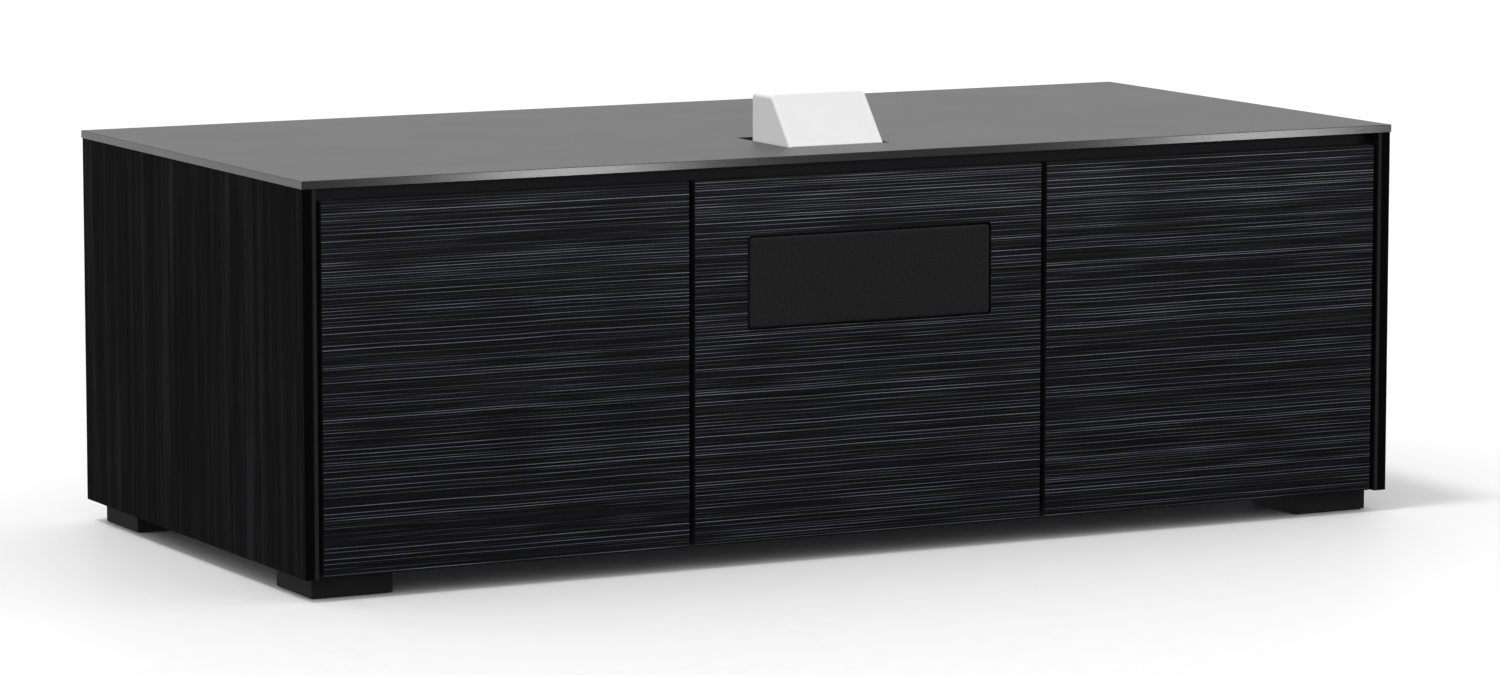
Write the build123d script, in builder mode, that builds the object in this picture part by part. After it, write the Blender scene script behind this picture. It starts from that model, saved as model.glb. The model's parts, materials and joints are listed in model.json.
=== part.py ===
"""Low three-door media cabinet with a short-throw projector standing through a cut-out in its top.

All sizes are in millimetres. The origin is on the floor at the centre of the footprint, with +X to the
right seen from the front, +Y to the back and +Z up. The doors face -Y.
Planes made from Plane.XZ look along +Y: their offset is minus the Y they lie at, and a positive extrude
goes towards the front.
"""

import os
from math import cos, radians, sin

from build123d import *

os.makedirs("parts", exist_ok=True)

# ------------------------------------------------------------------ driving dimensions
WIDTH = 1657.0
DEPTH = 768.0
HEIGHT = 547.0  # floor to the top surface, without the projector hood
FOOT_HEIGHT = 30.0
FOOT_SIZE = 115.0
FOOT_INSET_X = 20.0
FOOT_INSET_Y = 26.0
PAD_THICKNESS = 1.5
PAD_INSET = 4.0
FOOT_EDGE = 0.6

TOP_THICKNESS = 10.5
TOP_OVERHANG = 1.0
TOP_EDGE_ROUND = 0.8
SIDE_THICKNESS = 12.7
SIDE_EDGE = 0.4
JAMB_THICKNESS = 6.5
JAMB_STEP = 1.2
BOARD = 19.0
BACK_THICKNESS = 11.0
RAIL_HEIGHT = 40.0
RAIL_DEPTH = 25.5
RAIL_WALL = 2.0
RAIL_GROOVE = 1.2
RAIL_GROOVE_DROP = 4.5

DOOR_THICKNESS = 19.0
DOOR_FACING = 1.2
FACING_EDGE = 0.35
DOOR_GAP = 9.0
DOOR_BOTTOM_REVEAL = 1.5
DOOR_TOP_DROP = 28.0  # top surface down to the top edge of a door
FRAME_SETBACK = 25.5  # door face back to the front of the carcass

GRILLE_WIDTH = 372.0
GRILLE_HEIGHT = 126.0
GRILLE_BOTTOM = 316.5
GRILLE_CORNER = 4.0
GRILLE_REVEAL = 3.2
GRILLE_LEDGE = 9.0
GRILLE_LEDGE_THICKNESS = 4.0
GRILLE_BAR = 10.0
GRILLE_BRACE = 6.0
CLOTH = 1.0
CLOTH_SETBACK = 0.3

HINGE_FROM_EDGE = 10.0  # pin axis in from the hinge edge of the door
HINGE_FROM_FACE = 12.5  # pin axis back from the door face
HINGE_INSET_Z = 80.0  # hinge centre from the top and bottom of the door
CUP_RADIUS = 17.5
CUP_WALL = 1.5
CUP_DEPTH = 11.5
CUP_EDGE = 4.0
CUP_FLANGE = 1.2
CUP_RIM = 1.5
CUP_WING_WIDTH = 15.0
CUP_WING_LENGTH = 61.0
CUP_WING_CORNER = 5.0
CUP_SCREW_SHIFT = 9.5
CUP_SCREW_SPAN = 48.0
CUP_SCREW_HEAD = (3.6, 0.8)  # radius and thickness
PIN_RADIUS = 1.25
PIN_CLEARANCE = 0.05
PIN_END_GAP = 0.5
PIN_LUG = (6.0, 4.5, 1.5)  # the blocks that hold a pin's ends, along X, Y and Z
PIN_LUG_SHIFT = 1.0
ARM_THICKNESS = 2.0
ARM_WIDTH = 12.0
ARM_REACH = 21.0  # first straight run of the arm, from the pin
ARM_RISE = 10.0  # its slope away from the door face, in degrees
# the arm's bends round the edge of the board: in from the door's hinge edge, and back from its face
ARM_BENDS = [(34.8, 20.5), (32.0, 29.0), (20.0, 33.5)]
ARM_LANDING = 36.0  # where the arm meets the mounting plate, back from the door face
ARM_TAIL = 6.0
ARM_RADII = [4.0, 2.5, 4.0, 5.0, 4.0]
EYE_RADIUS = 2.6
EYE_OVERLAP = 0.4
EYE_LIFT = 0.3
PLATE_THICKNESS = 2.0
PLATE_LENGTH = 42.0
PLATE_WIDTH = 16.0
PLATE_CORNER = 3.0
PLATE_WING = (14.0, 44.0)
PLATE_WING_CORNER = 4.0
PLATE_SETBACK = 12.0
PLATE_SCREW_Z = 16.0
PLATE_SCREW_FROM_END = 9.0
PLATE_SCREW_HEAD = (3.8, 1.4)  # radius and thickness
SCREW_RADIUS = 2.0
SCREW_DEPTH = 10.0
SCREW_HOLE_SPARE = 1.0  # how much deeper a pilot hole is than its screw
SCREW_CLEARANCE = 0.05

PIN_ROW_Y = 300.0  # the two rows of shelf pin holes, front and back of centre
PIN_ROW_START = 145.5
PIN_PITCH = 32.0
PIN_COUNT = 9
SHELF_PIN_RADIUS = 2.5
SHELF_PIN_DEPTH = 8.0
SHELF_HOLE = 3  # the hole that each side shelf sits on, counted from 0
PROJECTOR_HOLE = 7
SHELF_CLEARANCE = 1.0
SHELF_EDGE = 0.8
SHELF_FROM_FRONT = 28.0
SHELF_FROM_BACK = 22.0
PROJECTOR_SHELF_LIP = 30.0  # how far the projector's shelf stands out in front of it

CUTOUT_X = (-73.0, 84.0)
CUTOUT_Y = (-284.0, -131.0)
CUTOUT_CORNER = 3.0

PROJECTOR_X = 2.5
PROJECTOR_WIDTH = 144.5
PROJECTOR_DEPTH = 310.0
PROJECTOR_FRONT = -281.0
PROJECTOR_FOOT = 5.0
PROJECTOR_FOOT_RADIUS = 9.0
PROJECTOR_FOOT_INSET = (20.0, 30.0)
CASE_EDGE = 2.0
CASE_VENT = (52.0, 4.0, 4.0)  # height, width and depth
CASE_VENT_PITCH = 8.0
CASE_VENT_COUNT = 24
PROJECTOR_CASE_TOP = 486.0
PROJECTOR_DECK = 500.0
HOOD_HEIGHT = 67.0  # above the top surface
HOOD_LIP = 0.5  # upright part of its front above the top surface
HOOD_DEPTH = 107.0
HOOD_SLOPE_RUN = 55.0
HOOD_ROUND = 7.0
HOOD_BROW_ROUND = 3.5
HOOD_WALL = 3.0
LENS_SIZE = (72.0, 48.0)
LENS_CORNER = 6.0
LENS_THICKNESS = 3.0
LENS_RECESS = 1.0
LENS_FROM_HOOD_BACK = 30.0
MIRROR_HEIGHT = 66.0
MIRROR_CORNER = 5.0
MIRROR_THICKNESS = 2.0

# ------------------------------------------------------------------ worked-out positions
HALF_WIDTH = WIDTH / 2
FACE = -DEPTH / 2 + TOP_OVERHANG  # plane of the door faces and of the sides' front edges
REAR = DEPTH / 2 - TOP_OVERHANG
SIDE_OUTER = HALF_WIDTH - TOP_OVERHANG
SIDE_INNER = SIDE_OUTER - SIDE_THICKNESS
JAMB_INNER = SIDE_INNER - JAMB_THICKNESS
CARCASS_INNER = SIDE_INNER - BOARD
CARCASS_FRONT = FACE + FRAME_SETBACK
CARCASS_BACK = REAR - BACK_THICKNESS
FLOOR_Z = FOOT_HEIGHT + BOARD
SLAB_BOTTOM = HEIGHT - TOP_THICKNESS
RAIL_BOTTOM = SLAB_BOTTOM - RAIL_HEIGHT

HINGE_OVERLAY = (BOARD - DOOR_GAP) / 2  # how far a door's hinge edge covers the board it hangs on
DOOR_OUTER = CARCASS_INNER + HINGE_OVERLAY
DOOR_WIDTH = (2 * DOOR_OUTER - 2 * DOOR_GAP) / 3
DOOR_BOTTOM = FOOT_HEIGHT + DOOR_BOTTOM_REVEAL
DOOR_TOP = HEIGHT - DOOR_TOP_DROP
DOOR_BACK = FACE + DOOR_THICKNESS
DIVIDER_X = DOOR_WIDTH / 2 + DOOR_GAP / 2
HINGE_Y = FACE + HINGE_FROM_FACE
HINGE_HEIGHTS = (DOOR_BOTTOM + HINGE_INSET_Z, DOOR_TOP - HINGE_INSET_Z)
CUP_FROM_EDGE = CUP_EDGE + CUP_RADIUS

# name: (hinge edge X, direction from the hinge edge to the free edge)
DOORS = {
    "left": (-DOOR_OUTER, 1),
    "centre": (-DOOR_WIDTH / 2, 1),
    "right": (DOOR_OUTER, -1),
}
PLATE_FRONT = CARCASS_FRONT + PLATE_SETBACK
PLATE_SCREW_Y = PLATE_FRONT + PLATE_LENGTH - PLATE_SCREW_FROM_END

PIN_HEIGHTS = [PIN_ROW_START + PIN_PITCH * n for n in range(PIN_COUNT)]
SHELF_BOTTOM = PIN_HEIGHTS[SHELF_HOLE] + SHELF_PIN_RADIUS
PROJECTOR_SHELF_BOTTOM = PIN_HEIGHTS[PROJECTOR_HOLE] + SHELF_PIN_RADIUS
PROJECTOR_STAND = PROJECTOR_SHELF_BOTTOM + BOARD

LATCH_FROM_DOOR_TOP = 40.0
LATCH_Z = DOOR_TOP - LATCH_FROM_DOOR_TOP
LATCH_WIDTH = 14.0
LATCH_HEIGHT = 20.0
LATCH_CORNER = 2.5
LATCH_LENGTH = 62.0
LATCH_SETBACK = 3.0
LATCH_FRONT = CARCASS_FRONT + LATCH_SETBACK
PLUNGER_RADIUS = 4.0
PLUNGER_TIP_RADIUS = 4.8
PLUNGER_TIP = 2.2
PLUNGER_BORE = 4.1
PLUNGER_LENGTH = 46.0
STRIKE_RADIUS = 9.0
STRIKE_THICKNESS = 1.0
STRIKE_GAP = 0.3
BUMPER_FROM_FREE_EDGE = 40.0
BUMPER_ABOVE_RAIL = 10.0
BUMPER_RADIUS = 5.0
BUMPER_ROUND = 1.5
BUMPER_GAP = 0.4

FOOT_CENTRES = {
    "front_left": (-1, -1),
    "front_right": (1, -1),
    "rear_left": (-1, 1),
    "rear_right": (1, 1),
}
FOOT_X = HALF_WIDTH - FOOT_INSET_X - FOOT_SIZE / 2
FOOT_Y = DEPTH / 2 - FOOT_INSET_Y - FOOT_SIZE / 2
BOLT_RADIUS = 4.0
BOLT_HEAD_RADIUS = 8.0
BOLT_HEAD = 4.5
BOLT_LENGTH = 36.0
BOLT_THREAD_CLEARANCE = 0.1
BOLT_CLEARANCE = 0.2
BOLT_HEAD_CLEARANCE = 0.3
BOLT_SOCKET = (3.0, 3.15)  # radius and depth
FOOT_HOLE_SPARE = 6.5

BACK_JOINT = 1.0  # half the gap between two back panels
BACK_PANELS = {
    "left": (-SIDE_INNER, -DIVIDER_X - BACK_JOINT),
    "centre": (-DIVIDER_X + BACK_JOINT, DIVIDER_X - BACK_JOINT),
    "right": (DIVIDER_X + BACK_JOINT, SIDE_INNER),
}
BACK_SCREW_SHARES = (0.08, 0.5, 0.92)  # where the screws of a row are across a back panel
BACK_SCREW_ROWS = (FOOT_HEIGHT + BOARD / 2, RAIL_BOTTOM + RAIL_HEIGHT / 2)
BACK_SCREW_HEAD = 4.0
BACK_SCREW_SINK = 2.6
BACK_SCREW_LENGTH = 22.0
BACK_SCREW_SOCKET = (1.6, 1.8)  # radius and depth
BACK_SCREW_CLEARANCE = 0.1
CABLE_PORT = (110.0, 52.0)
CABLE_PORT_Z = 118.0
CABLE_PORT_CORNER = 14.0
GROMMET_WALL = 3.0
GROMMET_LIP = 2.0
GROMMET_LIP_WIDTH = 5.0
VENT_COUNT = 16
VENT_PITCH = 17.0
VENT_WIDTH = 6.0
VENT_HEIGHT = 84.0
VENT_Z = 420.0


def at_y(y):
    """A plane that looks along +Y at that Y; its own axes are +X and +Z."""
    return Plane.XZ.offset(-y)


def save(part, name):
    """Labels a finished sub-part and writes its STEP file."""
    part.part.label = name
    export_step(part.part, f"parts/{name}.step")


def back_screw_xs(span):
    """The X of the three screws in each row of a back panel."""
    low, high = span
    return [low + (high - low) * share for share in BACK_SCREW_SHARES]


ALL_BACK_SCREW_XS = [x for span in BACK_PANELS.values() for x in back_screw_xs(span)]


# ------------------------------------------------------------------ feet
def foot(sign_x, sign_y):
    """A square block with a threaded hole in its top."""
    centre = (sign_x * FOOT_X, sign_y * FOOT_Y)
    with BuildPart() as block:
        with BuildSketch(Plane.XY.offset(PAD_THICKNESS)):
            with Locations(centre):
                Rectangle(FOOT_SIZE, FOOT_SIZE)
        extrude(amount=FOOT_HEIGHT - PAD_THICKNESS)
        chamfer(block.edges().filter_by(Axis.Z), length=FOOT_EDGE)
        with BuildSketch(Plane.XY.offset(FOOT_HEIGHT)):
            with Locations(centre):
                Circle(BOLT_RADIUS + BOLT_THREAD_CLEARANCE)
        extrude(amount=-(BOLT_LENGTH - BOARD + FOOT_HOLE_SPARE), mode=Mode.SUBTRACT)
    return block


for place, signs in FOOT_CENTRES.items():
    save(foot(*signs), f"{place}_foot")

with BuildPart() as foot_pads:
    with BuildSketch():
        with GridLocations(2 * FOOT_X, 2 * FOOT_Y, 2, 2):
            Rectangle(FOOT_SIZE - 2 * PAD_INSET, FOOT_SIZE - 2 * PAD_INSET)
    extrude(amount=PAD_THICKNESS)
save(foot_pads, "foot_pads")

with BuildPart() as foot_bolts:
    with BuildSketch(Plane.XY.offset(FLOOR_Z)):
        with GridLocations(2 * FOOT_X, 2 * FOOT_Y, 2, 2):
            Circle(BOLT_HEAD_RADIUS)
    extrude(amount=-BOLT_HEAD)
    with BuildSketch(Plane.XY.offset(FLOOR_Z - BOLT_HEAD)):
        with GridLocations(2 * FOOT_X, 2 * FOOT_Y, 2, 2):
            Circle(BOLT_RADIUS)
    extrude(amount=-(BOLT_LENGTH - BOLT_HEAD))
    with BuildSketch(Plane.XY.offset(FLOOR_Z)):
        with GridLocations(2 * FOOT_X, 2 * FOOT_Y, 2, 2):
            RegularPolygon(BOLT_SOCKET[0], 6)
    extrude(amount=-BOLT_SOCKET[1], mode=Mode.SUBTRACT)
save(foot_bolts, "foot_bolts")

# ------------------------------------------------------------------ bottom panel and sides
with BuildPart() as bottom_panel:
    with BuildSketch(Plane.XY.offset(FOOT_HEIGHT)):
        with Locations((0, (CARCASS_FRONT + CARCASS_BACK) / 2)):
            Rectangle(2 * SIDE_INNER, CARCASS_BACK - CARCASS_FRONT)
    extrude(amount=BOARD)
    with BuildSketch(Plane.XY.offset(FOOT_HEIGHT)):
        with GridLocations(2 * FOOT_X, 2 * FOOT_Y, 2, 2):
            Circle(BOLT_RADIUS + BOLT_CLEARANCE)
    extrude(amount=BOARD, mode=Mode.SUBTRACT)
    with BuildSketch(Plane.XY.offset(FLOOR_Z)):
        with GridLocations(2 * FOOT_X, 2 * FOOT_Y, 2, 2):
            Circle(BOLT_HEAD_RADIUS + BOLT_HEAD_CLEARANCE)
    extrude(amount=-BOLT_HEAD, mode=Mode.SUBTRACT)
    with BuildSketch(at_y(CARCASS_BACK)):
        with Locations(*[(x, BACK_SCREW_ROWS[0]) for x in ALL_BACK_SCREW_XS]):
            Circle(SCREW_RADIUS)
    extrude(amount=BACK_SCREW_LENGTH - BACK_THICKNESS + SCREW_HOLE_SPARE, mode=Mode.SUBTRACT)
save(bottom_panel, "bottom_panel")


def side_panel(sign):
    """The outer show panel, with a fine chamfer along its upright edges."""
    with BuildPart() as panel:
        with BuildSketch(Plane.XY.offset(FOOT_HEIGHT)):
            with Locations((sign * (SIDE_INNER + SIDE_OUTER) / 2, (FACE + REAR) / 2)):
                Rectangle(SIDE_THICKNESS, REAR - FACE)
        extrude(amount=SLAB_BOTTOM - FOOT_HEIGHT)
        chamfer(panel.edges().filter_by(Axis.Z), length=SIDE_EDGE)
    return panel


def jamb(sign):
    """The metal strip beside a door, with a shallow step along its outer side."""
    outer = sign * SIDE_INNER
    with BuildPart() as strip:
        with BuildSketch(Plane.XY.offset(FOOT_HEIGHT)):
            with Locations((outer - sign * JAMB_THICKNESS / 2, (FACE + CARCASS_FRONT) / 2)):
                Rectangle(JAMB_THICKNESS, CARCASS_FRONT - FACE)
            with Locations((outer - sign * JAMB_STEP / 2, FACE + JAMB_STEP / 2)):
                Rectangle(JAMB_STEP, JAMB_STEP, mode=Mode.SUBTRACT)
        extrude(amount=SLAB_BOTTOM - FOOT_HEIGHT)
    return strip


def upright(x_low, hinge_faces, pin_faces):
    """A carcass board with pilot holes for hinge plates and blind holes for shelf pins.

    hinge_faces and pin_faces list the faces that have them, as the X sign of the face's outward side.
    """
    hinge_points = [(PLATE_SCREW_Y, z + dz) for z in HINGE_HEIGHTS for dz in (-PLATE_SCREW_Z, PLATE_SCREW_Z)]
    pin_points = [(y, z) for y in (-PIN_ROW_Y, PIN_ROW_Y) for z in PIN_HEIGHTS]
    with BuildPart() as panel:
        with BuildSketch(Plane.XY.offset(FLOOR_Z)):
            with Locations((x_low + BOARD / 2, (CARCASS_FRONT + CARCASS_BACK) / 2)):
                Rectangle(BOARD, CARCASS_BACK - CARCASS_FRONT)
        extrude(amount=RAIL_BOTTOM - FLOOR_Z)
        for sign in pin_faces:
            with BuildSketch(Plane.YZ.offset(x_low + BOARD if sign > 0 else x_low)):
                with Locations(*pin_points):
                    Circle(SHELF_PIN_RADIUS)
            extrude(amount=-sign * SHELF_PIN_DEPTH, mode=Mode.SUBTRACT)
        for sign in hinge_faces:
            with BuildSketch(Plane.YZ.offset(x_low + BOARD if sign > 0 else x_low)):
                with Locations(*hinge_points):
                    Circle(SCREW_RADIUS)
            extrude(amount=-sign * SCREW_DEPTH, mode=Mode.SUBTRACT)
    return panel


save(side_panel(-1), "left_side_panel")
save(side_panel(1), "right_side_panel")
save(jamb(-1), "left_jamb")
save(jamb(1), "right_jamb")
save(upright(-SIDE_INNER, (1,), (1,)), "left_carcass_side")
save(upright(CARCASS_INNER, (-1,), (-1,)), "right_carcass_side")
save(upright(-DIVIDER_X - BOARD / 2, (1,), (-1, 1)), "left_divider")
save(upright(DIVIDER_X - BOARD / 2, (), (-1, 1)), "right_divider")


# ------------------------------------------------------------------ top frame and top
def long_rail(y_low, with_groove, screw_holes):
    """A hollow rail across the whole cabinet, with a groove along its face if asked."""
    centre = (y_low + RAIL_DEPTH / 2, RAIL_BOTTOM + RAIL_HEIGHT / 2)
    with BuildPart() as rail:
        with BuildSketch(Plane.YZ.offset(-SIDE_INNER)):
            with Locations(centre):
                Rectangle(RAIL_DEPTH, RAIL_HEIGHT)
                Rectangle(RAIL_DEPTH - 2 * RAIL_WALL, RAIL_HEIGHT - 2 * RAIL_WALL, mode=Mode.SUBTRACT)
            if with_groove:
                with Locations((y_low + RAIL_GROOVE / 2, SLAB_BOTTOM - RAIL_GROOVE_DROP - RAIL_GROOVE / 2)):
                    Rectangle(RAIL_GROOVE, RAIL_GROOVE, mode=Mode.SUBTRACT)
        extrude(amount=2 * SIDE_INNER)
        if screw_holes:
            with BuildSketch(at_y(y_low + RAIL_DEPTH)):
                with Locations(*[(x, BACK_SCREW_ROWS[1]) for x in ALL_BACK_SCREW_XS]):
                    Circle(SCREW_RADIUS)
            extrude(amount=RAIL_WALL, mode=Mode.SUBTRACT)
    return rail


def cross_rail(x_low):
    """A hollow rail from the front rail back to the rear one, over an upright."""
    start = CARCASS_FRONT + RAIL_DEPTH
    length = CARCASS_BACK - RAIL_DEPTH - start
    with BuildPart() as rail:
        with BuildSketch(at_y(start)):
            with Locations((x_low + BOARD / 2, RAIL_BOTTOM + RAIL_HEIGHT / 2)):
                Rectangle(BOARD, RAIL_HEIGHT)
                Rectangle(BOARD - 2 * RAIL_WALL, RAIL_HEIGHT - 2 * RAIL_WALL, mode=Mode.SUBTRACT)
        extrude(amount=-length)
    return rail


save(long_rail(CARCASS_FRONT, True, False), "front_top_rail")
save(long_rail(CARCASS_BACK - RAIL_DEPTH, False, True), "rear_top_rail")
save(cross_rail(-SIDE_INNER), "left_top_rail")
save(cross_rail(CARCASS_INNER), "right_top_rail")
save(cross_rail(-DIVIDER_X - BOARD / 2), "left_divider_rail")
save(cross_rail(DIVIDER_X - BOARD / 2), "right_divider_rail")

with BuildPart() as top_panel:
    with BuildSketch(Plane.XY.offset(SLAB_BOTTOM)):
        Rectangle(WIDTH, DEPTH)
    extrude(amount=TOP_THICKNESS)
    fillet(top_panel.edges().group_by(Axis.Z)[-1], radius=TOP_EDGE_ROUND)
    with BuildSketch(Plane.XY.offset(SLAB_BOTTOM)):
        with Locations((sum(CUTOUT_X) / 2, sum(CUTOUT_Y) / 2)):
            RectangleRounded(CUTOUT_X[1] - CUTOUT_X[0], CUTOUT_Y[1] - CUTOUT_Y[0], CUTOUT_CORNER)
    extrude(amount=TOP_THICKNESS, mode=Mode.SUBTRACT)
save(top_panel, "top_panel")


# ------------------------------------------------------------------ back panels
def back_panel(span):
    """A removable back with a row of vent slots, a cable port and countersunk screw holes."""
    low, high = span
    middle = (low + high) / 2
    screws = [(x, z) for x in back_screw_xs(span) for z in BACK_SCREW_ROWS]
    with BuildPart() as panel:
        with BuildSketch(at_y(REAR)):
            with Locations((middle, (FOOT_HEIGHT + SLAB_BOTTOM) / 2)):
                Rectangle(high - low, SLAB_BOTTOM - FOOT_HEIGHT)
            with Locations((middle, VENT_Z)):
                with GridLocations(VENT_PITCH, 0, VENT_COUNT, 1):
                    SlotOverall(VENT_HEIGHT, VENT_WIDTH, rotation=90, mode=Mode.SUBTRACT)
            with Locations((middle, CABLE_PORT_Z)):
                RectangleRounded(*CABLE_PORT, CABLE_PORT_CORNER, mode=Mode.SUBTRACT)
            with Locations(*screws):
                Circle(SCREW_RADIUS, mode=Mode.SUBTRACT)
        extrude(amount=BACK_THICKNESS)
        with BuildSketch(at_y(REAR)):
            with Locations(*screws):
                Circle(BACK_SCREW_HEAD + BACK_SCREW_CLEARANCE)
        extrude(amount=BACK_SCREW_SINK, mode=Mode.SUBTRACT)
    return panel


for place, span in BACK_PANELS.items():
    save(back_panel(span), f"{place}_back_panel")

with BuildPart() as back_panel_screws:
    points = [(x, z) for x in ALL_BACK_SCREW_XS for z in BACK_SCREW_ROWS]
    with BuildSketch(at_y(REAR)):
        with Locations(*points):
            Circle(BACK_SCREW_HEAD)
    extrude(amount=BACK_SCREW_SINK)
    with BuildSketch(at_y(REAR - BACK_SCREW_SINK)):
        with Locations(*points):
            Circle(SCREW_RADIUS - SCREW_CLEARANCE)
    extrude(amount=BACK_SCREW_LENGTH - BACK_SCREW_SINK)
    with BuildSketch(at_y(REAR)):
        with Locations(*points):
            RegularPolygon(BACK_SCREW_SOCKET[0], 6)
    extrude(amount=BACK_SCREW_SOCKET[1], mode=Mode.SUBTRACT)
save(back_panel_screws, "back_panel_screws")

with BuildPart() as cable_grommets:
    port_centres = [(sum(span) / 2, CABLE_PORT_Z) for span in BACK_PANELS.values()]
    lip = 2 * GROMMET_LIP_WIDTH
    with BuildSketch(at_y(CARCASS_BACK)):
        with Locations(*port_centres):
            RectangleRounded(CABLE_PORT[0] + lip, CABLE_PORT[1] + lip, CABLE_PORT_CORNER + lip / 2)
    extrude(amount=GROMMET_LIP)
    with BuildSketch(at_y(CARCASS_BACK)):
        with Locations(*port_centres):
            RectangleRounded(*CABLE_PORT, CABLE_PORT_CORNER)
    extrude(amount=-BACK_THICKNESS)
    with BuildSketch(at_y(REAR)):
        with Locations(*port_centres):
            RectangleRounded(
                CABLE_PORT[0] - 2 * GROMMET_WALL,
                CABLE_PORT[1] - 2 * GROMMET_WALL,
                CABLE_PORT_CORNER - GROMMET_WALL,
            )
    extrude(amount=BACK_THICKNESS + GROMMET_LIP, mode=Mode.SUBTRACT)
save(cable_grommets, "cable_grommets")


# ------------------------------------------------------------------ shelves
def shelf(x, y, bottom):
    """A loose shelf with an eased front edge."""
    with BuildPart() as plank:
        with BuildSketch(Plane.XY.offset(bottom)):
            with Locations((sum(x) / 2, sum(y) / 2)):
                Rectangle(x[1] - x[0], y[1] - y[0])
        extrude(amount=BOARD)
        chamfer(plank.edges().filter_by(Axis.X).group_by(Axis.Y)[0], length=SHELF_EDGE)
    return plank


SIDE_BAY = (DIVIDER_X + BOARD / 2 + SHELF_CLEARANCE, CARCASS_INNER - SHELF_CLEARANCE)
SHELF_Y = (CARCASS_FRONT + SHELF_FROM_FRONT, CARCASS_BACK - SHELF_FROM_BACK)
CENTRE_BAY = (-DIVIDER_X + BOARD / 2 + SHELF_CLEARANCE, DIVIDER_X - BOARD / 2 - SHELF_CLEARANCE)
save(shelf((-SIDE_BAY[1], -SIDE_BAY[0]), SHELF_Y, SHELF_BOTTOM), "left_shelf")
save(shelf(SIDE_BAY, SHELF_Y, SHELF_BOTTOM), "right_shelf")
PROJECTOR_SHELF_Y = (PROJECTOR_FRONT - PROJECTOR_SHELF_LIP, CARCASS_BACK - SHELF_FROM_BACK)
save(shelf(CENTRE_BAY, PROJECTOR_SHELF_Y, PROJECTOR_SHELF_BOTTOM), "projector_shelf")

with BuildPart() as shelf_pins:
    pin_faces = [
        (-CARCASS_INNER, 1, SHELF_HOLE),
        (-DIVIDER_X - BOARD / 2, -1, SHELF_HOLE),
        (-DIVIDER_X + BOARD / 2, 1, PROJECTOR_HOLE),
        (DIVIDER_X - BOARD / 2, -1, PROJECTOR_HOLE),
        (DIVIDER_X + BOARD / 2, 1, SHELF_HOLE),
        (CARCASS_INNER, -1, SHELF_HOLE),
    ]
    for face_x, sign, hole in pin_faces:
        with BuildSketch(Plane.YZ.offset(face_x - sign * SHELF_PIN_DEPTH)):
            with Locations((-PIN_ROW_Y, PIN_HEIGHTS[hole]), (PIN_ROW_Y, PIN_HEIGHTS[hole])):
                Circle(SHELF_PIN_RADIUS)
        extrude(amount=sign * 2 * SHELF_PIN_DEPTH)
save(shelf_pins, "shelf_pins")


# ------------------------------------------------------------------ doors
def door_outline(name):
    """The X span of a door."""
    edge, way = DOORS[name]
    return sorted((edge, edge + way * DOOR_WIDTH))


def cup_centres(name):
    """The centres of a door's hinge cups, in X and Z."""
    edge, way = DOORS[name]
    return [(edge + way * CUP_FROM_EDGE, z) for z in HINGE_HEIGHTS]


def cup_screws(name):
    """The X and Z of the two screws beside each hinge cup."""
    _, way = DOORS[name]
    half = CUP_SCREW_SPAN / 2
    return [(x + way * CUP_SCREW_SHIFT, z + dz) for x, z in cup_centres(name) for dz in (-half, half)]


GRILLE_CENTRE = (0, GRILLE_BOTTOM + GRILLE_HEIGHT / 2)


def door_core(name):
    """The board of a door, bored for its hinge cups. The centre one has a stepped window for the grille."""
    low, high = door_outline(name)
    core_front = FACE + DOOR_FACING
    with BuildPart() as core:
        with BuildSketch(at_y(core_front)):
            with Locations(((low + high) / 2, (DOOR_BOTTOM + DOOR_TOP) / 2)):
                Rectangle(high - low, DOOR_TOP - DOOR_BOTTOM)
        extrude(amount=-(DOOR_THICKNESS - DOOR_FACING))
        with BuildSketch(at_y(DOOR_BACK)):
            with Locations(*cup_centres(name)):
                Circle(CUP_RADIUS)
        extrude(amount=CUP_DEPTH, mode=Mode.SUBTRACT)
        with BuildSketch(at_y(DOOR_BACK)):
            with Locations(*cup_screws(name)):
                Circle(SCREW_RADIUS)
        extrude(amount=SCREW_DEPTH, mode=Mode.SUBTRACT)
        if name == "centre":
            with BuildSketch(at_y(core_front)):
                with Locations(GRILLE_CENTRE):
                    RectangleRounded(GRILLE_WIDTH, GRILLE_HEIGHT, GRILLE_CORNER)
            extrude(amount=-(DOOR_THICKNESS - DOOR_FACING - GRILLE_LEDGE_THICKNESS), mode=Mode.SUBTRACT)
            with BuildSketch(at_y(core_front)):
                with Locations(GRILLE_CENTRE):
                    RectangleRounded(
                        GRILLE_WIDTH - 2 * GRILLE_LEDGE - 2 * GRILLE_REVEAL,
                        GRILLE_HEIGHT - 2 * GRILLE_LEDGE - 2 * GRILLE_REVEAL,
                        GRILLE_CORNER,
                    )
            extrude(amount=-DOOR_THICKNESS, mode=Mode.SUBTRACT)
    return core


def door_facing(name):
    """The textured sheet bonded to the front of a door, with eased edges."""
    low, high = door_outline(name)
    with BuildPart() as facing:
        with BuildSketch(at_y(FACE)):
            with Locations(((low + high) / 2, (DOOR_BOTTOM + DOOR_TOP) / 2)):
                Rectangle(high - low, DOOR_TOP - DOOR_BOTTOM)
        extrude(amount=-DOOR_FACING)
        chamfer(facing.faces().sort_by(Axis.Y)[0].edges(), length=FACING_EDGE)
        if name == "centre":
            with BuildSketch(at_y(FACE)):
                with Locations(GRILLE_CENTRE):
                    RectangleRounded(GRILLE_WIDTH, GRILLE_HEIGHT, GRILLE_CORNER)
            extrude(amount=-DOOR_FACING, mode=Mode.SUBTRACT)
    return facing


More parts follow.
